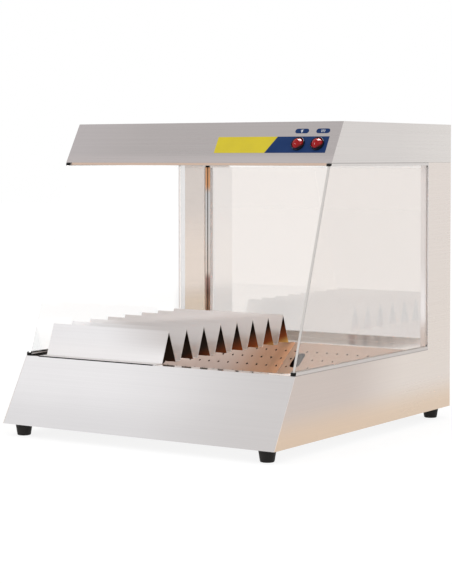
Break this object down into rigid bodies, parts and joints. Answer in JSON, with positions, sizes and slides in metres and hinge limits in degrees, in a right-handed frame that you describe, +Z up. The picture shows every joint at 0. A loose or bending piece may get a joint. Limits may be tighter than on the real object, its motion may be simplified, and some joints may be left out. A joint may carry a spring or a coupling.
{
  "type": "chip warmer",
  "caption": "Counter-top chip warmer: heated base with a drained well and divider rack, lamp hood on two columns, glass on three sides, open front.",
  "frame": {"origin": "centre of the overall footprint, on the surface the feet stand on", "axes": "+X to the right when facing the open front, +Y to the back, +Z up"},
  "size_m": [0.577, 0.647, 0.565],
  "materials": {
    "casing": "brushed stainless sheet",
    "liner": "polished stainless sheet",
    "inner_sheet": "plain mill-finish sheet",
    "drain_plate": "perforated stainless sheet",
    "rack": "satin stainless sheet",
    "channel": "bright folded channel",
    "reflector": "bright-rolled aluminium",
    "lamp": "lit quartz tube",
    "lamp_holder": "glazed ceramic",
    "guard": "plated wire",
    "glass": "clear toughened glass",
    "seal": "black glazing rubber",
    "switch_body": "black moulding",
    "rocker": "red translucent moulding",
    "heater": "oxidised element sheath",
    "foot": "black rubber",
    "screws": "zinc-plated steel",
    "electrical": "moulded fittings",
    "bushing": "black nylon"
  },
  "bodies": {
    "cabinet": {"base_front_panel": "casing", "base_heater": "heater", "base_rear_panel": "casing", "bottom_plate": "inner_sheet", "cable_bushing": "bushing", "column_liner_left": "liner", "column_liner_right": "liner", "deck_plate": "liner", "foot_front_left": "foot", "foot_front_right": "foot", "foot_rear_left": "foot", "foot_rear_right": "foot", "foot_screws": "screws", "heat_lamp_front": "lamp", "heat_lamp_rear": "lamp", "heat_switch_body": "switch_body", "heater_brackets": "inner_sheet", "hood_rear_panel": "casing", "hood_shell": "casing", "hood_underpan": "liner", "lamp_guard": "guard", "lamp_holder_front_left": "lamp_holder", "lamp_holder_front_right": "lamp_holder", "lamp_holder_rear_left": "lamp_holder", "lamp_holder_rear_right": "lamp_holder", "lamp_reflector": "reflector", "light_switch_body": "switch_body", "plate_rail_front": "inner_sheet", "plate_rail_rear": "inner_sheet", "rear_channel_bottom": "channel", "rear_channel_left": "channel", "rear_channel_right": "channel", "rear_channel_top": "channel", "rear_glass": "glass", "rear_panel_screws": "screws", "rear_seal": "seal", "side_channel_bottom_left": "channel", "side_channel_bottom_right": "channel", "side_channel_top_left": "channel", "side_channel_top_right": "channel", "side_glass_left": "glass", "side_glass_right": "glass", "side_panel_left": "casing", "side_panel_right": "casing", "side_seals_left": "seal", "side_seals_right": "seal", "terminal_block": "electrical", "thermal_cutout": "electrical", "well_pan": "inner_sheet"},
    "left_plate": {"drain_plate_left": "drain_plate"},
    "right_plate": {"drain_plate_right": "drain_plate"},
    "rack": {"divider_rack": "rack"},
    "light_key": {"light_rocker": "rocker"},
    "heat_key": {"heat_rocker": "rocker"}
  },
  "joints": [
    {"name": "left_plate_lift", "type": "slide", "parent": "cabinet", "child": "left_plate", "axis": [0, -0.766, 0.6428], "range_m": [0, 0.74]},
    {"name": "right_plate_lift", "type": "slide", "parent": "cabinet", "child": "right_plate", "axis": [0, -0.766, 0.6428], "range_m": [0, 0.74]},
    {"name": "rack_lift", "type": "slide", "parent": "left_plate", "child": "rack", "axis": [0, -0.766, 0.6428], "range_m": [0, 0.76]},
    {"name": "light_switch_rock", "type": "hinge", "parent": "cabinet", "child": "light_key", "pos_m": [0.21, -0.11719, 0.52455], "axis": [1, 0, 0], "range_deg": [0, 18]},
    {"name": "heat_switch_rock", "type": "hinge", "parent": "cabinet", "child": "heat_key", "pos_m": [0.249, -0.11719, 0.52455], "axis": [1, 0, 0], "range_deg": [0, 18]}
  ]
}
